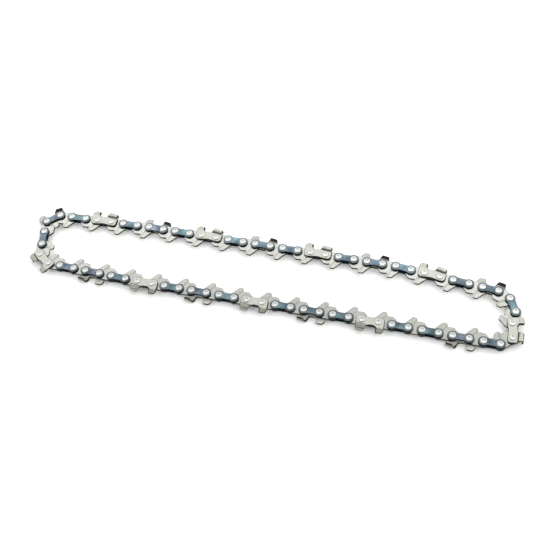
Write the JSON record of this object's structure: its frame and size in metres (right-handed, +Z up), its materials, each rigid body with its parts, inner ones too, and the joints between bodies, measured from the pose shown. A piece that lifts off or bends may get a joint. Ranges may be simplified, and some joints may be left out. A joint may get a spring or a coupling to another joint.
{
  "type": "chainsaw chain loop",
  "caption": "Closed loop of saw chain lying on its side: toothed drive links between blued tie straps, with left and right cutters taking turns along the outside.",
  "frame": {"origin": "middle of the loop's box, on the surface that it lies on", "axes": "+X along the strands, +Y across the loop towards the far strand, +Z up along the rivets"},
  "size_m": [0.3402, 0.0594, 0.0055],
  "materials": {
    "drive_steel": "satin",
    "blued_steel": "satin, heat-blued",
    "cutter_chrome": "satin hard chrome"
  },
  "bodies": {
    "right_turn": {"upper_straps_right_turn": "blued_steel", "lower_straps_right_turn": "blued_steel", "drive_links_right_turn": "drive_steel", "upper_cutter_07": "cutter_chrome", "lower_cutter_08": "cutter_chrome", "upper_cutter_09": "cutter_chrome", "lower_cutter_10": "cutter_chrome"},
    "near_right": {"drive_links_near_right": "drive_steel", "lower_straps_near_right": "blued_steel", "upper_cutter_11": "cutter_chrome", "upper_straps_near_right": "blued_steel", "lower_cutter_12": "cutter_chrome"},
    "near_middle": {"drive_links_near_middle": "drive_steel", "upper_straps_near_middle": "blued_steel", "lower_straps_near_middle": "blued_steel", "upper_cutter_13": "cutter_chrome"},
    "near_left": {"drive_links_near_left": "drive_steel", "upper_straps_near_left": "blued_steel", "lower_cutter_14": "cutter_chrome", "lower_straps_near_left": "blued_steel", "upper_cutter_15": "cutter_chrome"},
    "left_turn": {"drive_links_left_turn": "drive_steel", "upper_straps_left_turn": "blued_steel", "lower_straps_left_turn": "blued_steel", "upper_cutter_01": "cutter_chrome", "lower_cutter_16": "cutter_chrome", "upper_cutter_17": "cutter_chrome", "lower_cutter_18": "cutter_chrome"},
    "far_right": {"lower_straps_far_right": "blued_steel", "upper_cutter_05": "cutter_chrome", "drive_links_far_right": "drive_steel", "upper_straps_far_right": "blued_steel", "lower_cutter_06": "cutter_chrome"},
    "far_middle": {"upper_straps_far_middle": "blued_steel", "lower_straps_far_middle": "blued_steel", "drive_links_far_middle": "drive_steel", "lower_cutter_04": "cutter_chrome"},
    "far_left": {"upper_straps_far_left": "blued_steel", "lower_cutter_02": "cutter_chrome", "drive_links_far_left": "drive_steel", "lower_straps_far_left": "blued_steel", "upper_cutter_03": "cutter_chrome"}
  },
  "joints": [
    {"name": "near_right_flex", "type": "hinge", "parent": "right_turn", "child": "near_right", "pos_m": [0.08923, -0.02167, 0.00274], "axis": [0, 0, 1], "range_deg": [-15, 15]},
    {"name": "near_right_return", "type": "hinge", "parent": "near_right", "child": "near_middle", "pos_m": [0.03208, -0.02167, 0.00274], "axis": [0, 0, 1], "range_deg": [-15, 15]},
    {"name": "near_left_flex", "type": "hinge", "parent": "near_middle", "child": "near_left", "pos_m": [-0.02507, -0.02167, 0.00274], "axis": [0, 0, 1], "range_deg": [-15, 15]},
    {"name": "near_left_return", "type": "hinge", "parent": "near_left", "child": "left_turn", "pos_m": [-0.08222, -0.02167, 0.00274], "axis": [0, 0, 1], "range_deg": [-15, 15]},
    {"name": "far_right_flex", "type": "hinge", "parent": "right_turn", "child": "far_right", "pos_m": [0.08247, 0.02212, 0.00274], "axis": [0, 0, 1], "range_deg": [-15, 15]},
    {"name": "far_right_return", "type": "hinge", "parent": "far_right", "child": "far_middle", "pos_m": [0.02532, 0.02212, 0.00274], "axis": [0, 0, 1], "range_deg": [-15, 15]},
    {"name": "far_left_flex", "type": "hinge", "parent": "far_middle", "child": "far_left", "pos_m": [-0.03183, 0.02212, 0.00274], "axis": [0, 0, 1], "range_deg": [-15, 15]}
  ],
  "couplings": [
    {"joint": "near_right_return", "follows": "near_right_flex", "ratio": -1},
    {"joint": "far_right_flex", "follows": "near_right_flex", "ratio": 1},
    {"joint": "far_right_return", "follows": "near_right_flex", "ratio": -1},
    {"joint": "near_left_return", "follows": "near_left_flex", "ratio": -1},
    {"joint": "far_left_flex", "follows": "near_left_flex", "ratio": 1}
  ]
}
